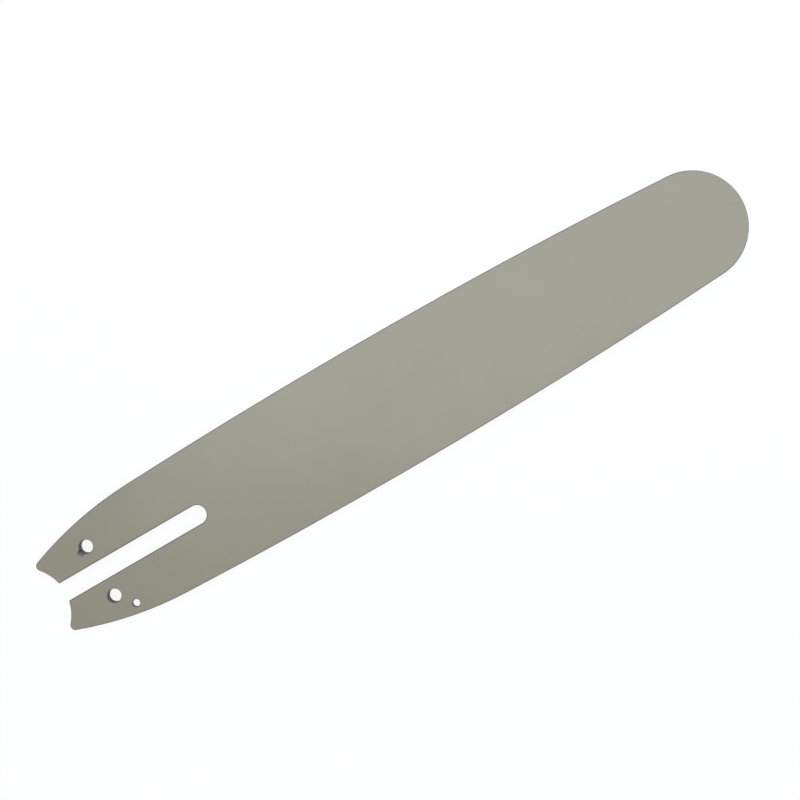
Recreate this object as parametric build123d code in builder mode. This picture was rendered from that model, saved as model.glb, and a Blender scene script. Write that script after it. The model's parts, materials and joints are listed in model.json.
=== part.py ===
"""Solid-nose chainsaw guide bar with an open-ended mounting slot, one piece of hardened steel.

The bar lies flat: +X runs to the nose, +Y across the width, +Z up through the thickness.
The origin is under the middle of the bar, on the face it lies on. Millimetres throughout.
"""
import os
from math import asin, cos, degrees, radians, sin, sqrt

from build123d import *

# plan outline
overall_length = 480.0          # tail tips to nose
nose_radius = 34.0
edge_bow = 6.65                 # how far each long edge bows out past the nose radius
widest_station = 226.0          # tail tips to the widest place
taper_station = 71.0            # tail tips to the start of the tighter tail curve
tail_edge_radius = 225.0
hollow_radius = 28.5            # hollow across the tail, clear of the drive sprocket
tail_corner_radius = 3.0
mouth_corner_radius = 0.6

# section
bar_thickness = 4.7
groove_width = 1.6              # chain gauge
groove_depth = 8.0
lead_in_length = 7.0            # flared mouth of the groove at the tail
lead_in_flare = 0.5             # widening of each side at the tips
edge_break = 0.45               # along the outline and the slot
rim_break = 0.35                # round the holes

# mounting slot and holes, measured from the tail tips and from the long axis
slot_width = 12.0
slot_length = 105.8
pin_hole_diameter = 8.4
pin_hole_setback = 32.5
pin_hole_offset = 17.1
oil_hole_diameter = 4.5
oil_mouth_diameter = 7.8        # wider on the lower side, to catch oil from the saw
oil_mouth_angle = 60.0          # degrees across the cone
oil_hole_setback = 41.7
oil_hole_offset = 27.5

# oil ramp at the rim of the upper pin hole
ramp_width = 4.6
ramp_reach = 8.2                # hole centre to the tip of the ramp
ramp_slope = 28.0               # degrees below the face
ramp_bearing = 204.0            # degrees round the hole from +X

# stations worked out from the sizes above
tail_x = -overall_length / 2
nose_x = overall_length / 2 - nose_radius
widest_x = tail_x + widest_station
taper_x = tail_x + taper_station
mid_z = bar_thickness / 2

# one long arc makes each edge: level at the widest place and tangent to the nose
reach = nose_x - widest_x
body_radius = (reach**2 + 2 * nose_radius * edge_bow + edge_bow**2) / (2 * edge_bow)
nose_lean = asin(reach / (body_radius - nose_radius))
taper_lean = asin((widest_x - taper_x) / body_radius)

# the tighter tail arc runs on past the tips, so the groove can leave the bar there
run_out = groove_depth
tail_lean = asin(sin(taper_lean) + (taper_station + run_out) / tail_edge_radius)

# the tail corner rounds off between the tail arc and the hollow, with its tip at the overall length
edge_y = nose_radius + edge_bow - body_radius
tail_arc_x = taper_x + tail_edge_radius * sin(taper_lean)
tail_arc_y = edge_y + (body_radius - tail_edge_radius) * cos(taper_lean)
corner_x = tail_x + tail_corner_radius
corner_y = tail_arc_y + sqrt((tail_edge_radius - tail_corner_radius) ** 2 - (corner_x - tail_arc_x) ** 2)
hollow_x = corner_x - sqrt((hollow_radius + tail_corner_radius) ** 2 - corner_y**2)


def edge_profile(inset):
    """Plan face inside the long edges and nose, drawn in from them by inset and open past the tail."""
    with BuildSketch() as profile:
        with BuildLine():
            nose = JernArc(
                start=(overall_length / 2 - inset, 0),
                tangent=(0, 1),
                radius=nose_radius - inset,
                arc_size=90 - degrees(nose_lean),
            )
            body = JernArc(
                start=nose @ 1,
                tangent=nose % 1,
                radius=body_radius - inset,
                arc_size=degrees(nose_lean + taper_lean),
            )
            tail = JernArc(
                start=body @ 1,
                tangent=body % 1,
                radius=tail_edge_radius - inset,
                arc_size=degrees(tail_lean - taper_lean),
            )
            Line(tail @ 1, ((tail @ 1).X, 0))
            mirror(about=Plane.XZ)
        make_face()
    return profile.sketch


# the plan: long edges, hollow tail and open slot
with BuildSketch() as plan:
    add(edge_profile(0))
    with Locations((hollow_x, 0)):
        Circle(hollow_radius, mode=Mode.SUBTRACT)
    fillet(plan.vertices().sort_by(Axis.X)[:2], radius=tail_corner_radius)
    slot_end_x = tail_x + slot_length
    slot_run = slot_length + slot_width
    with Locations((slot_end_x - slot_run / 2, 0)):
        SlotOverall(slot_run, slot_width, mode=Mode.SUBTRACT)
    mouth = plan.vertices().filter_by_position(Axis.Y, -0.6 * slot_width, 0.6 * slot_width)
    fillet(mouth.sort_by(Axis.X)[:2], radius=mouth_corner_radius)

# the band between the edges and the floor of the chain groove
with BuildSketch() as band:
    add(edge_profile(0))
    add(edge_profile(groove_depth), mode=Mode.SUBTRACT)

# the flared mouths, wedges that keep to the band so the web behind the groove stays whole
with BuildPart() as lead_in:
    with BuildSketch(Plane.XZ):
        with BuildLine():
            Polyline(
                (tail_x - run_out, mid_z - groove_width / 2 - lead_in_flare * (1 + run_out / lead_in_length)),
                (tail_x + lead_in_length, mid_z - groove_width / 2),
                (tail_x + lead_in_length, mid_z + groove_width / 2),
                (tail_x - run_out, mid_z + groove_width / 2 + lead_in_flare * (1 + run_out / lead_in_length)),
                close=True,
            )
        make_face()
    extrude(amount=nose_radius + edge_bow, both=True)
    extrude(band.sketch, amount=bar_thickness, mode=Mode.INTERSECT)

# the holes: one pin hole on each arm, and the oil hole sunk from below
pin_x = tail_x + pin_hole_setback
pin_places = [(pin_x, pin_hole_offset, bar_thickness), (pin_x, -pin_hole_offset, bar_thickness)]
oil_place = Plane(origin=(tail_x + oil_hole_setback, -oil_hole_offset, 0), z_dir=(0, 0, -1))

# the oil ramp is a round cutter let in at a slope towards the hole
ramp_way = Vector(cos(radians(ramp_bearing)), sin(radians(ramp_bearing)), 0)
ramp_centre = Vector(pin_places[0])
ramp_run = ramp_reach - ramp_width / 2 / sin(radians(ramp_slope))
ramp_axis = Vector(0, 0, -sin(radians(ramp_slope))) - ramp_way * cos(radians(ramp_slope))
ramp_start = ramp_centre + ramp_way * ramp_run - ramp_axis * ramp_reach
ramp_plane = Plane(origin=ramp_start, z_dir=ramp_axis)

with BuildPart() as guide_bar:
    extrude(plan.sketch, amount=bar_thickness)
    flats = guide_bar.faces().filter_by(Axis.Z)
    chamfer(flats.edges(), length=edge_break)
    with Locations(*pin_places):
        Hole(pin_hole_diameter / 2)
    pin_rims = guide_bar.edges(Select.LAST).filter_by(GeomType.CIRCLE)
    chamfer(pin_rims, length=rim_break)
    with Locations(oil_place):
        CounterSinkHole(oil_hole_diameter / 2, oil_mouth_diameter / 2, bar_thickness, oil_mouth_angle)
    oil_rim = guide_bar.edges(Select.LAST).filter_by(GeomType.CIRCLE).sort_by(Axis.Z)[-1]
    chamfer(oil_rim, length=rim_break)
    with BuildSketch(Plane.XY.offset(mid_z - groove_width / 2)):
        add(band.sketch)
    extrude(amount=groove_width, mode=Mode.SUBTRACT)
    add(lead_in.part, mode=Mode.SUBTRACT)
    with BuildSketch(ramp_plane):
        Circle(ramp_width / 2)
    extrude(amount=ramp_reach + ramp_run / cos(radians(ramp_slope)), mode=Mode.SUBTRACT)

guide_bar.part.label = "guide_bar"

os.makedirs("parts", exist_ok=True)
export_step(guide_bar.part, "parts/guide_bar.step")
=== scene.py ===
"""Finish and studio for a solid-nose chainsaw guide bar that lies flat on a pale floor."""

import json
from math import hypot, radians

import bpy
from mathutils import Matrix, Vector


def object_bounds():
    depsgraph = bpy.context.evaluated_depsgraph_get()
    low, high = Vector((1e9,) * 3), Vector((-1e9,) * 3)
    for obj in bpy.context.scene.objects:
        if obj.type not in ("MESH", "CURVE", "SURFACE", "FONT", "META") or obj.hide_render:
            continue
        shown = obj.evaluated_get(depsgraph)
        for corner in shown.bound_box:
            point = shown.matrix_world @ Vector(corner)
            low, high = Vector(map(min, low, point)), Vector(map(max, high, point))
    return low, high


bl_info = {
    "name": "Guide Bar Finish",
    "version": (1, 0, 0),
    "blender": (4, 5, 0),
    "location": "View3D > Sidebar > Guide Bar",
    "description": "Blasted faces, ground rails, milled groove and dark holes for a chainsaw guide bar",
    "category": "Object",
}

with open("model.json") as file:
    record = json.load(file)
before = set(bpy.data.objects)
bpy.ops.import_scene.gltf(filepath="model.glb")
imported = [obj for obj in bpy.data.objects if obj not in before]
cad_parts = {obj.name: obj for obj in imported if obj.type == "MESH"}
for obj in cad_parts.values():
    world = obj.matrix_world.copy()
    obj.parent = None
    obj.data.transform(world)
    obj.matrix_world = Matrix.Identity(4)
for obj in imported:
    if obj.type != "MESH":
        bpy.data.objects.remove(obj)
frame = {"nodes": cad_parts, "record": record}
BAR = frame["nodes"]["guide_bar"]
CAD_LOW, CAD_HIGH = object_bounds()
MID_HEIGHT = (CAD_LOW.z + CAD_HIGH.z) / 2
HALF_THICKNESS = (CAD_HIGH.z - CAD_LOW.z) / 2
MOUNTS = {mount["name"]: mount for mount in frame["record"]["mounts"]}
UPPER_PIN = MOUNTS["pin_hole_upper"]
LOWER_PIN = MOUNTS["pin_hole_lower"]
MILLIMETRE = 0.001

# limits that tell the facets of one surface from those of the next
SLACK = 3e-5        # metres, since a flat facet cuts a little inside its curve
LEVEL = 0.99        # a flat side faces up or down at least this much
LEANING = 0.3       # a broken edge faces up or down at least this much
SIDEWAYS = 0.928    # at the tail, a rail faces out from the long axis at least this much

WHITE = (1.0, 1.0, 1.0)
PLAN = (1.0, 1.0, 0.0)      # scales a place down to its plan
WHOLE = (0.0, 1.0)          # from none to all
PATTERN = (0.3, 0.7)        # most of a noise pattern lies between these


class GuideBarSizes(bpy.types.PropertyGroup):
    """Sizes of the bar's surfaces and of the painted shade in the oil ramp"""

    edge_break: bpy.props.FloatProperty(
        name="Edge break",
        description="Width of the broken edge along the outline and the slot",
        default=0.00045,
        min=0.0,
        max=0.002,
        unit="LENGTH",
    )
    rim_break: bpy.props.FloatProperty(
        name="Rim break",
        description="Width of the broken edge round the holes",
        default=0.00035,
        min=0.0,
        max=0.002,
        unit="LENGTH",
    )
    groove_width: bpy.props.FloatProperty(
        name="Groove width",
        description="Width of the chain groove between the rails",
        default=0.0016,
        min=0.001,
        max=0.003,
        unit="LENGTH",
    )
    groove_flare: bpy.props.FloatProperty(
        name="Groove flare",
        description="How far each side of the groove widens at the tail",
        default=0.0005,
        min=0.0,
        max=0.002,
        unit="LENGTH",
    )
    oil_hole_place: bpy.props.FloatVectorProperty(
        name="Oil hole",
        description="Centre of the oil hole in the plan",
        subtype="XYZ_LENGTH",
        unit="LENGTH",
        size=2,
        default=(-0.1983, -0.0275),
    )
    oil_hole_radius: bpy.props.FloatProperty(
        name="Oil hole radius",
        description="Radius of the oil hole on the upper side",
        default=0.00225,
        min=0.001,
        max=0.01,
        unit="LENGTH",
    )
    oil_mouth_radius: bpy.props.FloatProperty(
        name="Oil hole mouth",
        description="Radius of the oil hole on the lower side",
        default=0.0039,
        min=0.001,
        max=0.01,
        unit="LENGTH",
    )
    ramp_reach: bpy.props.FloatProperty(
        name="Oil ramp reach",
        description="Length of the oil ramp from the centre of its pin hole",
        default=0.0082,
        min=0.005,
        max=0.02,
        unit="LENGTH",
    )
    # painted shade in the oil ramp: where it is darkest and how far it fades
    ramp_shade_place: bpy.props.FloatVectorProperty(
        name="Ramp shade",
        description="Darkest place of the painted shade in the oil ramp, in the plan",
        subtype="XYZ_LENGTH",
        unit="LENGTH",
        size=2,
        default=(-0.21125, 0.0166),
    )
    ramp_shade_core: bpy.props.FloatProperty(
        name="Shade core",
        description="Distance from the darkest place at which the painted shade starts to fade",
        default=0.0008,
        min=0.0,
        max=0.01,
        unit="LENGTH",
    )
    ramp_shade_reach: bpy.props.FloatProperty(
        name="Shade reach",
        description="Distance from the darkest place at which the painted shade is gone",
        default=0.0044,
        min=0.001,
        max=0.02,
        unit="LENGTH",
    )


class GuideBarFinish(bpy.types.PropertyGroup):
    """Colours and marks of the bar's steel"""

    face_colour: bpy.props.FloatVectorProperty(
        name="Face colour",
        description="Blasted grey of the two flat sides",
        subtype="COLOR",
        size=3,
        min=0.0,
        max=1.0,
        default=(0.319, 0.3035, 0.2403),
    )
    # painted shade: the broken edges, and the hole rims that share their steel, are coloured darker than
    # the faces
    edge_shade_colour: bpy.props.FloatVectorProperty(
        name="Edge colour",
        description="Painted shade on the broken edges, darker than the faces",
        subtype="COLOR",
        size=3,
        min=0.0,
        max=1.0,
        default=(0.120, 0.118, 0.110),
    )
    rail_colour: bpy.props.FloatVectorProperty(
        name="Rail colour",
        description="Bright ground steel of the running edges",
        subtype="COLOR",
        size=3,
        min=0.0,
        max=1.0,
        default=(0.46, 0.452, 0.425),
    )
    temper_colour: bpy.props.FloatVectorProperty(
        name="Temper colour",
        description="Faint straw tint that hardening leaves in places on the rails",
        subtype="COLOR",
        size=3,
        min=0.0,
        max=1.0,
        default=(0.93, 0.90, 0.86),
    )
    groove_colour: bpy.props.FloatVectorProperty(
        name="Groove colour",
        description="Dark oiled steel inside the chain groove",
        subtype="COLOR",
        size=3,
        min=0.0,
        max=1.0,
        default=(0.12, 0.115, 0.10),
    )
    wall_colour: bpy.props.FloatVectorProperty(
        name="Cut wall colour",
        description="Steel of the slot and tail walls",
        subtype="COLOR",
        size=3,
        min=0.0,
        max=1.0,
        default=(0.21, 0.205, 0.18),
    )
    # painted shade: the walls inside the holes are coloured dark, as shade inside them
    bore_shade_colour: bpy.props.FloatVectorProperty(
        name="Bore colour",
        description="Painted shade on the steel inside the holes",
        subtype="COLOR",
        size=3,
        min=0.0,
        max=1.0,
        default=(0.085, 0.082, 0.072),
    )
    scale_colour: bpy.props.FloatVectorProperty(
        name="Scale colour",
        description="Tint of the dull patches on cut walls and inside the holes",
        subtype="COLOR",
        size=3,
        min=0.0,
        max=1.0,
        default=(0.86, 0.84, 0.80),
    )
    # painted shade: the ramp is coloured dark near its pin hole, as shade in the recess
    ramp_shade_colour: bpy.props.FloatVectorProperty(
        name="Ramp shade colour",
        description="Dark painted shade in the ramp",
        subtype="COLOR",
        size=3,
        min=0.0,
        max=1.0,
        default=(0.085, 0.080, 0.070),
    )
    # painted light: where the painted shade is gone, the ramp is coloured lighter than the faces to make
    # up for the ramp's own shade
    ramp_lightened_colour: bpy.props.FloatVectorProperty(
        name="Oil ramp colour",
        description="Steel of the ramp where the painted shade is gone, painted lighter than the faces",
        subtype="COLOR",
        size=3,
        min=0.0,
        max=1.0,
        default=(0.3924, 0.3733, 0.2956),
    )
    face_roughness: bpy.props.FloatVectorProperty(
        name="Face roughness",
        description="How matt the blasted sides are, where least and where most",
        size=2,
        min=0.0,
        max=1.0,
        default=(0.30, 0.42),
    )
    edge_roughness: bpy.props.FloatVectorProperty(
        name="Edge roughness",
        description="How matt the broken edges are, where least and where most",
        size=2,
        min=0.0,
        max=1.0,
        default=(0.36, 0.52),
    )
    rail_roughness: bpy.props.FloatVectorProperty(
        name="Rail roughness",
        description="How matt the ground rails are, where least and where most",
        size=2,
        min=0.0,
        max=1.0,
        default=(0.24, 0.40),
    )
    groove_roughness: bpy.props.FloatVectorProperty(
        name="Groove roughness",
        description="How matt the oiled groove is, where least and where most",
        size=2,
        min=0.0,
        max=1.0,
        default=(0.28, 0.55),
    )
    wall_roughness: bpy.props.FloatVectorProperty(
        name="Wall roughness",
        description="How matt the cut walls and the holes are, where least and where most",
        size=2,
        min=0.0,
        max=1.0,
        default=(0.42, 0.60),
    )
    ramp_roughness: bpy.props.FloatVectorProperty(
        name="Ramp roughness",
        description="How matt the oil ramp is, where least and where most",
        size=2,
        min=0.0,
        max=1.0,
        default=(0.50, 0.70),
    )
    blast_grain: bpy.props.FloatVectorProperty(
        name="Blast grain",
        description="Size of the fine pits that blasting leaves",
        subtype="XYZ_LENGTH",
        unit="LENGTH",
        size=3,
        min=0.00005,
        default=(0.00022, 0.00022, 0.00022),
    )
    blast_cloud: bpy.props.FloatVectorProperty(
        name="Blast cloud",
        description="Size of the broad faint patches on the flat sides",
        subtype="XYZ_LENGTH",
        unit="LENGTH",
        size=3,
        min=0.001,
        default=(0.0625, 0.0625, 0.0625),
    )
    roll_lines: bpy.props.FloatVectorProperty(
        name="Rolling lines",
        description="Size of the faint lines that rolling leaves along the plate",
        subtype="XYZ_LENGTH",
        unit="LENGTH",
        size=3,
        min=0.0005,
        default=(0.14, 0.0033, 0.0033),
    )
    rub_marks: bpy.props.FloatVectorProperty(
        name="Rub marks",
        description="Size of the rubbed places on the broken edges",
        subtype="XYZ_LENGTH",
        unit="LENGTH",
        size=3,
        min=0.0005,
        default=(0.0038, 0.0038, 0.0038),
    )
    grind_lines: bpy.props.FloatVectorProperty(
        name="Grinding lines",
        description="Size of the lines that grinding leaves along the rails",
        subtype="XYZ_LENGTH",
        unit="LENGTH",
        size=3,
        min=0.00005,
        default=(0.055, 0.055, 0.00022),
    )
    temper_patches: bpy.props.FloatVectorProperty(
        name="Temper patches",
        description="Size of the tinted places on the rails",
        subtype="XYZ_LENGTH",
        unit="LENGTH",
        size=3,
        min=0.001,
        default=(0.045, 0.045, 0.045),
    )
    feed_marks: bpy.props.FloatVectorProperty(
        name="Feed marks",
        description="Size of the marks that milling leaves in the groove",
        subtype="XYZ_LENGTH",
        unit="LENGTH",
        size=3,
        min=0.0001,
        default=(0.0011, 0.0011, 0.0083),
    )
    oil_film: bpy.props.FloatVectorProperty(
        name="Oil film",
        description="Size of the places where the oil film in the groove is thick",
        subtype="XYZ_LENGTH",
        unit="LENGTH",
        size=3,
        min=0.001,
        default=(0.014, 0.014, 0.014),
    )
    cut_lines: bpy.props.FloatVectorProperty(
        name="Cut lines",
        description="Size of the upright lines on walls cut through the plate",
        subtype="XYZ_LENGTH",
        unit="LENGTH",
        size=3,
        min=0.0001,
        default=(0.00067, 0.00067, 0.011),
    )
    scale_patches: bpy.props.FloatVectorProperty(
        name="Scale patches",
        description="Size of the dull patches on cut walls and inside the holes",
        subtype="XYZ_LENGTH",
        unit="LENGTH",
        size=3,
        min=0.001,
        default=(0.0077, 0.0077, 0.0077),
    )
    ramp_marks: bpy.props.FloatVectorProperty(
        name="Ramp marks",
        description="Size of the fine marks in the oil ramp",
        subtype="XYZ_LENGTH",
        unit="LENGTH",
        size=3,
        min=0.0001,
        default=(0.0007, 0.0007, 0.0007),
    )


class GuideBarStage(bpy.types.PropertyGroup):
    """Floor, light and camera"""

    floor_colour: bpy.props.FloatVectorProperty(
        name="Floor colour",
        description="Pale floor under the bar",
        subtype="COLOR",
        size=3,
        min=0.0,
        max=1.0,
        default=(0.92, 0.92, 0.92),
    )
    floor_width: bpy.props.FloatProperty(
        name="Floor width",
        description="Length of each side of the floor",
        default=8.0,
        min=1.0,
        max=50.0,
        unit="LENGTH",
    )
    floor_gap: bpy.props.FloatProperty(
        name="Floor gap",
        description="Height of the bar above the floor, so that the two faces don't meet",
        default=0.0001,
        min=0.0,
        max=0.001,
        unit="LENGTH",
    )
    floor_share: bpy.props.FloatProperty(
        name="Floor glow share",
        description="Part of the floor's white that is its own glow; the rest takes the bar's shadow",
        default=0.75,
        min=0.0,
        max=1.0,
        subtype="FACTOR",
    )
    floor_glow: bpy.props.FloatVectorProperty(
        name="Floor glow",
        description="Strength of that glow round the bar, and far away where the lamp adds less",
        size=2,
        min=0.0,
        max=2.0,
        default=(1.14, 1.20),
    )
    floor_fade: bpy.props.FloatVectorProperty(
        name="Floor fade",
        description="Distances from the bar's middle between which the glow changes",
        subtype="XYZ_LENGTH",
        unit="LENGTH",
        size=2,
        default=(0.5, 2.5),
    )
    lamp_power: bpy.props.FloatProperty(
        name="Softbox power",
        description="Power of the large lamp that hangs over the nose half of the bar",
        default=2.87,
        min=0.0,
        max=200.0,
        unit="POWER",
    )
    lamp_colour: bpy.props.FloatVectorProperty(
        name="Softbox colour",
        description="Slightly cool light, like a window",
        subtype="COLOR",
        size=3,
        min=0.0,
        max=1.0,
        default=(0.806, 0.871, 1.0),
    )
    lamp_size: bpy.props.FloatVectorProperty(
        name="Softbox size",
        description="Length and depth of the lamp",
        subtype="XYZ_LENGTH",
        unit="LENGTH",
        size=2,
        default=(1.35, 0.80),
    )
    lamp_height: bpy.props.FloatProperty(
        name="Softbox height",
        description="Height of the lamp above the bar",
        default=0.85,
        min=0.6,
        max=5.0,
        unit="LENGTH",
    )
    lamp_place: bpy.props.FloatVectorProperty(
        name="Softbox place",
        description="Where the lamp hangs over the plan",
        subtype="XYZ_LENGTH",
        unit="LENGTH",
        size=2,
        default=(0.27, 0.19),
    )
    lamp_turn: bpy.props.FloatProperty(
        name="Softbox turn",
        description="Angle of the lamp's long side to the bar",
        default=radians(-18.0),
        subtype="ANGLE",
        unit="ROTATION",
    )
    room_level: bpy.props.FloatProperty(
        name="Room level",
        description="Brightness of the even light from the room",
        default=0.45,
        min=0.0,
        max=3.0,
    )
    backdrop_level: bpy.props.FloatProperty(
        name="Backdrop level",
        description="Brightness of the room where it is seen directly, with one for white",
        default=1.0,
        min=0.0,
        max=1.0,
    )
    turn: bpy.props.FloatProperty(
        name="Turn in view",
        description="Angle of the bar across the picture",
        default=radians(30.18),
        subtype="ANGLE",
        unit="ROTATION",
    )
    view_centre: bpy.props.FloatVectorProperty(
        name="View centre",
        description="Point of the upper face in the middle of the picture",
        subtype="XYZ_LENGTH",
        unit="LENGTH",
        size=2,
        default=(0.00069, -0.00169),
    )
    view_height: bpy.props.FloatProperty(
        name="Camera height",
        description="Height of the camera above the upper face",
        default=0.50,
        min=0.1,
        max=5.0,
        unit="LENGTH",
    )
    view_width: bpy.props.FloatProperty(
        name="View width",
        description="Width of the picture at the upper face",
        default=0.4825,
        min=0.05,
        max=5.0,
        unit="LENGTH",
    )


def reach_from(place, points):
    """Largest distance of the points from a place in the plan."""
    return max(hypot(point.x - place[0], point.y - place[1]) for point in points)


def surface_of(polygon, sizes):
    """Which of the bar's surfaces a facet belongs to."""
    points = [BAR.data.vertices[index].co for index in polygon.vertices]
    heights = [abs(point.z - MID_HEIGHT) for point in points]
    sunk = HALF_THICKNESS - min(heights)
    level = abs(polygon.normal.z)
    if level > LEVEL and sunk < SLACK:
        return "face"
    if max(heights) < sizes.groove_width / 2 + sizes.groove_flare + SLACK:
        return "groove"
    holes = [(pin["pos_m"], MILLIMETRE * pin["dims"]["r_mm"]) for pin in (UPPER_PIN, LOWER_PIN)]
    holes.append((sizes.oil_hole_place, sizes.oil_hole_radius))
    for place, radius in holes:
        reach = reach_from(place, points)
        if reach < radius + SLACK:
            return "bore"
        if reach < radius + sizes.rim_break + SLACK and sunk < sizes.rim_break + SLACK:
            return "edge"
    if reach_from(sizes.oil_hole_place, points) < sizes.oil_mouth_radius + SLACK:
        return "bore"
    if reach_from(UPPER_PIN["pos_m"], points) < sizes.ramp_reach + SLACK:
        return "ramp"
    if level > LEANING and sunk < sizes.edge_break + SLACK:
        return "edge"
    outward = polygon.normal.y if polygon.center.y > 0 else -polygon.normal.y
    if polygon.center.x < 0 and outward < SIDEWAYS:
        return "wall"
    return "rail"


def dress(surface, material):
    """Gives the material to every facet of the bar on the named surface."""
    mesh = BAR.data
    sizes = bpy.context.scene.guide_bar_sizes
    facets = [polygon for polygon in mesh.polygons if surface_of(polygon, sizes) == surface]
    if not facets:
        raise RuntimeError(f"the bar has no {surface}")
    mesh.materials.append(material)
    for polygon in facets:
        polygon.material_index = len(mesh.materials) - 1


def add_node(tree, kind, inputs, **settings):
    """A node with its settings, and each named input set to a value or linked to another node."""
    node = tree.nodes.new(kind)
    for name, value in settings.items():
        setattr(node, name, value)
    for name, value in inputs.items():
        if isinstance(value, bpy.types.NodeSocket):
            tree.links.new(value, node.inputs[name])
        else:
            node.inputs[name].default_value = value
    return node


def ranged(tree, amount, span, low, high, curve="LINEAR"):
    """A number that runs from low to high while the amount runs over its span."""
    start, end = span
    limits = {"From Min": start, "From Max": end, "To Min": low, "To Max": high}
    node = add_node(tree, "ShaderNodeMapRange", {"Value": amount, **limits}, interpolation_type=curve)
    return node.outputs["Result"]


def distance_from(tree, place):
    """Distance in the plan from a place, in metres."""
    where = add_node(tree, "ShaderNodeTexCoord", {})
    plan = add_node(
        tree,
        "ShaderNodeMapping",
        {"Vector": where.outputs["Object"], "Scale": PLAN},
    )
    away = add_node(
        tree,
        "ShaderNodeVectorMath",
        {0: plan.outputs["Vector"], 1: (*place, 0.0)},
        operation="DISTANCE",
    )
    return away.outputs["Value"]


def shade(colour, factor):
    """A colour made lighter or darker."""
    return tuple(min(1.0, part * factor) for part in colour)


class Steel:
    """A steel finish in the making, whose marks are drawn in the bar's own coordinates."""

    def __init__(self, name, metallic):
        self.material = bpy.data.materials.new(name)
        self.material.use_nodes = True
        self.tree = self.material.node_tree
        self.shader = self.tree.nodes["Principled BSDF"]
        self.shader.inputs["Metallic"].default_value = metallic
        self.where = add_node(self.tree, "ShaderNodeTexCoord", {}).outputs["Object"]

    def marks(self, lengths, detail=3.0, harshness=0.6):
        """A pattern of marks with the given length along each axis, as a number about one half."""
        steps = [1.0 / length for length in lengths]
        place = add_node(self.tree, "ShaderNodeMapping", {"Vector": self.where, "Scale": steps})
        look = {"Scale": 1.0, "Detail": detail, "Roughness": harshness}
        noise = add_node(self.tree, "ShaderNodeTexNoise", {"Vector": place.outputs["Vector"], **look})
        return noise.outputs["Fac"]

    def tint(self, amount, low, high, span=PATTERN):
        """A colour that runs from low to high while the amount runs over its span."""
        node = add_node(self.tree, "ShaderNodeValToRGB", {"Fac": amount})
        first, last = node.color_ramp.elements
        first.position, last.position = span
        first.color = (*low, 1.0)
        last.color = (*high, 1.0)
        return node.outputs["Color"]

    def tone(self, pattern, colour, darkest, lightest):
        """The colour made darker and lighter with a pattern."""
        return self.tint(pattern, shade(colour, darkest), shade(colour, lightest))

    def paint(self, base, *tints):
        """Colours the steel with the base, darkened by each tint."""
        for tint in tints:
            layers = {"Factor": 1.0, "A": base, "B": tint}
            mixed = add_node(self.tree, "ShaderNodeMix", layers, data_type="RGBA", blend_type="MULTIPLY")
            base = mixed.outputs["Result"]
        self.tree.links.new(base, self.shader.inputs["Base Color"])

    def roughen(self, pattern, low, high):
        """Lets the gloss of the steel follow a pattern."""
        roughness = ranged(self.tree, pattern, PATTERN, low, high)
        self.tree.links.new(roughness, self.shader.inputs["Roughness"])

    def relieve(self, pattern, depth):
        """Gives the steel fine relief of the given depth in metres."""
        bump = add_node(self.tree, "ShaderNodeBump", {"Height": pattern, "Distance": depth})
        self.tree.links.new(bump.outputs["Normal"], self.shader.inputs["Normal"])


class OBJECT_OT_guide_bar_faces(bpy.types.Operator):
    """Blast the two flat sides to an even satin grey"""

    bl_idname = "object.guide_bar_faces"
    bl_label = "Blasted Faces"

    def execute(self, context):
        finish = context.scene.guide_bar_finish
        steel = Steel("blasted_steel", metallic=0.6)
        grain = steel.marks(finish.blast_grain, harshness=0.65)
        cloud = steel.marks(finish.blast_cloud)
        lines = steel.marks(finish.roll_lines)
        steel.paint(
            steel.tone(cloud, finish.face_colour, darkest=0.975, lightest=1.025),
            steel.tone(grain, WHITE, darkest=0.90, lightest=1.0),
            steel.tone(lines, WHITE, darkest=0.99, lightest=1.0),
        )
        steel.roughen(grain, *finish.face_roughness)
        steel.relieve(grain, depth=1.1e-5)
        dress("face", steel.material)
        return {"FINISHED"}


class OBJECT_OT_guide_bar_edges(bpy.types.Operator):
    """Break the edges of the flat sides, with painted shade that makes them darker, and with rubbed
    places a little smoother
    """

    bl_idname = "object.guide_bar_edges"
    bl_label = "Broken Edges"

    def execute(self, context):
        finish = context.scene.guide_bar_finish
        steel = Steel("rubbed_edge_steel_painted_shade", metallic=0.7)
        rub = steel.marks(finish.rub_marks)
        smooth, dull = finish.edge_roughness
        # painted shade: the edge colour is darker than the faces, as shade along the broken edges and
        # hole rims
        steel.paint(steel.tone(rub, finish.edge_shade_colour, darkest=0.85, lightest=1.15))
        steel.roughen(rub, dull, smooth)
        steel.relieve(rub, depth=8e-6)
        dress("edge", steel.material)
        return {"FINISHED"}


class OBJECT_OT_guide_bar_rails(bpy.types.Operator):
    """Grind the rails that the chain runs on, with lines along the edge"""

    bl_idname = "object.guide_bar_rails"
    bl_label = "Ground Rails"

    def execute(self, context):
        finish = context.scene.guide_bar_finish
        steel = Steel("ground_rail_steel", metallic=0.95)
        lines = steel.marks(finish.grind_lines)
        patches = steel.marks(finish.temper_patches)
        steel.paint(
            steel.tone(lines, finish.rail_colour, darkest=0.82, lightest=1.08),
            steel.tint(patches, finish.temper_colour, WHITE),
        )
        steel.roughen(lines, *finish.rail_roughness)
        steel.relieve(lines, depth=5.6e-6)
        dress("rail", steel.material)
        return {"FINISHED"}


class OBJECT_OT_guide_bar_groove(bpy.types.Operator):
    """Mill the chain groove and leave a film of oil in it"""

    bl_idname = "object.guide_bar_groove"
    bl_label = "Milled Groove"

    def execute(self, context):
        finish = context.scene.guide_bar_finish
        steel = Steel("milled_groove_steel", metallic=0.7)
        film = steel.marks(finish.oil_film)
        feed = steel.marks(finish.feed_marks)
        steel.paint(steel.tone(film, finish.groove_colour, darkest=0.7, lightest=1.3))
        steel.roughen(film, *finish.groove_roughness)
        steel.relieve(feed, depth=7.5e-6)
        dress("groove", steel.material)
        return {"FINISHED"}


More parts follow.
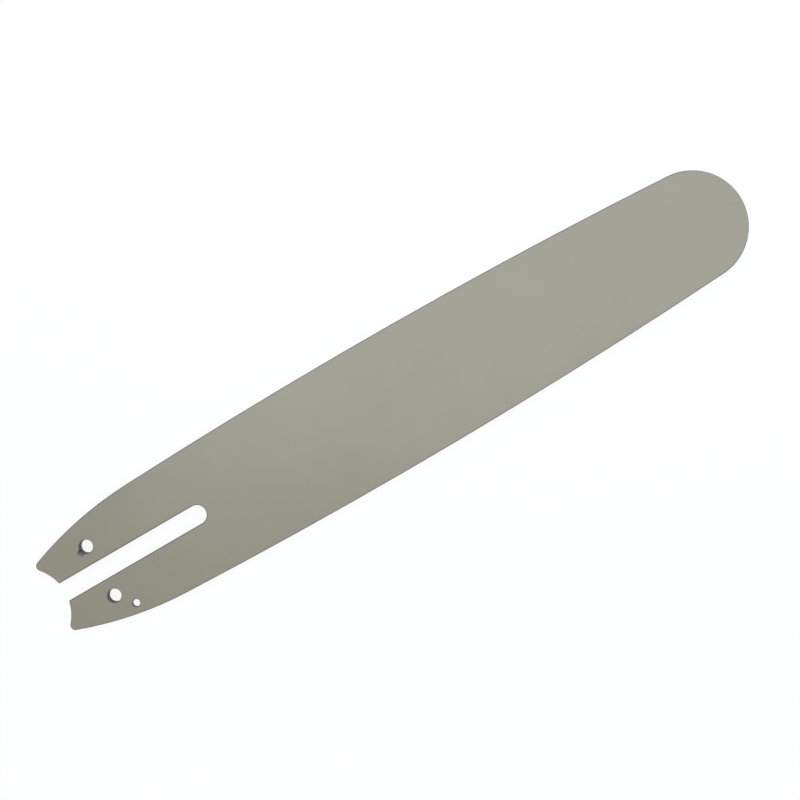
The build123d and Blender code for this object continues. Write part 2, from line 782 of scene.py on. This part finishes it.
def cut_steel(name, colour, finish):
    """Steel with upright cut lines and dull patches, for a wall that was cut through the plate."""
    steel = Steel(name, metallic=0.75)
    cuts = steel.marks(finish.cut_lines)
    patches = steel.marks(finish.scale_patches)
    steel.paint(
        steel.tone(cuts, colour, darkest=0.8, lightest=1.15),
        steel.tint(patches, finish.scale_colour, WHITE),
    )
    steel.roughen(cuts, *finish.wall_roughness)
    steel.relieve(cuts, depth=1.5e-5)
    return steel.material


class OBJECT_OT_guide_bar_walls(bpy.types.Operator):
    """Cut the walls of the slot and the hollow tail, with upright cut lines"""

    bl_idname = "object.guide_bar_walls"
    bl_label = "Cut Walls"

    def execute(self, context):
        finish = context.scene.guide_bar_finish
        dress("wall", cut_steel("cut_wall_steel", finish.wall_colour, finish))
        return {"FINISHED"}


class OBJECT_OT_guide_bar_bores(bpy.types.Operator):
    """Paint shade on the walls inside the pin holes and the oil hole, by colouring them dark"""

    bl_idname = "object.guide_bar_bores"
    bl_label = "Hole Walls"

    def execute(self, context):
        finish = context.scene.guide_bar_finish
        # painted shade: the hole walls take a dark colour for the shade inside the holes
        dress("bore", cut_steel("bore_steel_painted_shade", finish.bore_shade_colour, finish))
        return {"FINISHED"}


class OBJECT_OT_guide_bar_ramp(bpy.types.Operator):
    """Paint shade into the oil ramp, darker the nearer it comes to its pin hole, and lighter than the
    faces where it fades out
    """

    bl_idname = "object.guide_bar_ramp"
    bl_label = "Oil Ramp"

    def execute(self, context):
        finish = context.scene.guide_bar_finish
        sizes = context.scene.guide_bar_sizes
        steel = Steel("oil_ramp_steel", metallic=0.25)
        # painted shade: dark near the pin hole, fading out to a colour painted lighter than the faces
        away = distance_from(steel.tree, sizes.ramp_shade_place)
        span = (sizes.ramp_shade_core, sizes.ramp_shade_reach)
        fade = ranged(steel.tree, away, span, *WHOLE, curve="SMOOTHSTEP")
        marks = steel.marks(finish.ramp_marks)
        steel.paint(
            steel.tint(fade, finish.ramp_shade_colour, finish.ramp_lightened_colour, span=WHOLE),
            steel.tone(marks, WHITE, darkest=0.88, lightest=1.0),
        )
        steel.roughen(marks, *finish.ramp_roughness)
        steel.relieve(marks, depth=1e-5)
        dress("ramp", steel.material)
        return {"FINISHED"}


def seen_directly(tree):
    """One for a ray from the camera, off a shiny surface or through a clear one, and else zero."""
    path = add_node(tree, "ShaderNodeLightPath", {})
    seen = path.outputs["Is Camera Ray"]
    for name in ("Is Glossy Ray", "Is Transmission Ray"):
        either = add_node(tree, "ShaderNodeMath", {0: seen, 1: path.outputs[name]}, operation="MAXIMUM")
        seen = either.outputs["Value"]
    return seen


class OBJECT_OT_guide_bar_stage(bpy.types.Operator):
    """Set the pale floor, the soft light and the camera that looks straight down on the bar"""

    bl_idname = "object.guide_bar_stage"
    bl_label = "Studio"

    def execute(self, context):
        scene = context.scene
        stage = scene.guide_bar_stage
        scene.view_settings.view_transform = "Standard"
        self.lay_floor(scene, stage)
        self.light_room(scene, stage)
        self.hang_softbox(scene, stage)
        self.place_camera(scene, stage)
        return {"FINISHED"}

    def lay_floor(self, scene, stage):
        """A wide plane that is white to the camera and still takes the bar's shadow."""
        half = stage.floor_width / 2
        low = CAD_LOW.z - stage.floor_gap
        mesh = bpy.data.meshes.new("floor")
        corners = [(-half, -half, low), (half, -half, low), (half, half, low), (-half, half, low)]
        mesh.from_pydata(corners, [], [(0, 1, 2, 3)])
        mesh.materials.append(self.floor_material(stage))
        floor = bpy.data.objects.new("floor", mesh)
        scene.collection.objects.link(floor)

    def floor_material(self, stage):
        """Matt paint with a white glow of its own, which shows where the floor is seen directly."""
        material = bpy.data.materials.new("pale_floor")
        material.use_nodes = True
        tree = material.node_tree
        tree.nodes.clear()
        matt = add_node(tree, "ShaderNodeBsdfDiffuse", {"Color": (*stage.floor_colour, 1.0)})
        strength = ranged(tree, distance_from(tree, (0.0, 0.0)), stage.floor_fade, *stage.floor_glow)
        glow = add_node(tree, "ShaderNodeEmission", {"Strength": strength})
        share = ranged(tree, seen_directly(tree), WHOLE, 0.0, stage.floor_share)
        layers = {"Fac": share, 1: matt.outputs["BSDF"], 2: glow.outputs["Emission"]}
        mix = add_node(tree, "ShaderNodeMixShader", layers)
        add_node(tree, "ShaderNodeOutputMaterial", {"Surface": mix.outputs["Shader"]})
        return material

    def light_room(self, scene, stage):
        """Even white light from all round, and a white backdrop where it is seen directly."""
        world = bpy.data.worlds.new("studio_room")
        scene.world = world
        world.use_nodes = True
        tree = world.node_tree
        tree.nodes.clear()
        strength = ranged(tree, seen_directly(tree), WHOLE, stage.room_level, stage.backdrop_level)
        room = add_node(tree, "ShaderNodeBackground", {"Color": (*WHITE, 1.0), "Strength": strength})
        add_node(tree, "ShaderNodeOutputWorld", {"Surface": room.outputs["Background"]})

    def hang_softbox(self, scene, stage):
        """A wide soft lamp that faces down, over the nose half of the bar and to its upper side."""
        data = bpy.data.lights.new("softbox", "AREA")
        data.shape = "RECTANGLE"
        data.size, data.size_y = stage.lamp_size
        data.energy = stage.lamp_power
        data.color = stage.lamp_colour
        lamp = bpy.data.objects.new("softbox", data)
        scene.collection.objects.link(lamp)
        lamp.visible_camera = False
        lamp.location = (*stage.lamp_place, CAD_HIGH.z + stage.lamp_height)
        lamp.rotation_euler = (0.0, 0.0, stage.lamp_turn)

    def place_camera(self, scene, stage):
        """A camera over the middle of the bar, turned so that the bar runs up to the right."""
        data = bpy.data.cameras.new("camera")
        data.lens = data.sensor_width * stage.view_height / stage.view_width
        camera = bpy.data.objects.new("camera", data)
        scene.collection.objects.link(camera)
        camera.location = (*stage.view_centre, CAD_HIGH.z + stage.view_height)
        camera.rotation_euler = (0.0, 0.0, -stage.turn)
        scene.camera = camera


GROUPS = {
    "guide_bar_sizes": GuideBarSizes,
    "guide_bar_finish": GuideBarFinish,
    "guide_bar_stage": GuideBarStage,
}
STEPS = (
    OBJECT_OT_guide_bar_faces,
    OBJECT_OT_guide_bar_edges,
    OBJECT_OT_guide_bar_rails,
    OBJECT_OT_guide_bar_groove,
    OBJECT_OT_guide_bar_walls,
    OBJECT_OT_guide_bar_bores,
    OBJECT_OT_guide_bar_ramp,
    OBJECT_OT_guide_bar_stage,
)


class VIEW3D_PT_guide_bar(bpy.types.Panel):
    """Finish and studio of the guide bar"""

    bl_label = "Guide Bar"
    bl_space_type = "VIEW_3D"
    bl_region_type = "UI"
    bl_category = "Guide Bar"

    def draw(self, context):
        layout = self.layout
        for name, group in GROUPS.items():
            box = layout.box()
            box.label(text=group.__doc__)
            for value in group.__annotations__:
                box.prop(getattr(context.scene, name), value)
        for step in STEPS:
            layout.operator(step.bl_idname)


def register():
    for name, group in GROUPS.items():
        bpy.utils.register_class(group)
        setattr(bpy.types.Scene, name, bpy.props.PointerProperty(type=group))
    for step in STEPS:
        bpy.utils.register_class(step)
    bpy.utils.register_class(VIEW3D_PT_guide_bar)


def unregister():
    bpy.utils.unregister_class(VIEW3D_PT_guide_bar)
    for step in reversed(STEPS):
        bpy.utils.unregister_class(step)
    for name, group in reversed(GROUPS.items()):
        delattr(bpy.types.Scene, name)
        bpy.utils.unregister_class(group)


def main():
    register()
    BAR.data.materials.clear()
    bpy.ops.object.guide_bar_faces()
    bpy.ops.object.guide_bar_edges()
    bpy.ops.object.guide_bar_rails()
    bpy.ops.object.guide_bar_groove()
    bpy.ops.object.guide_bar_walls()
    bpy.ops.object.guide_bar_bores()
    bpy.ops.object.guide_bar_ramp()
    bpy.ops.object.guide_bar_stage()


if __name__ == "__main__":
    main()
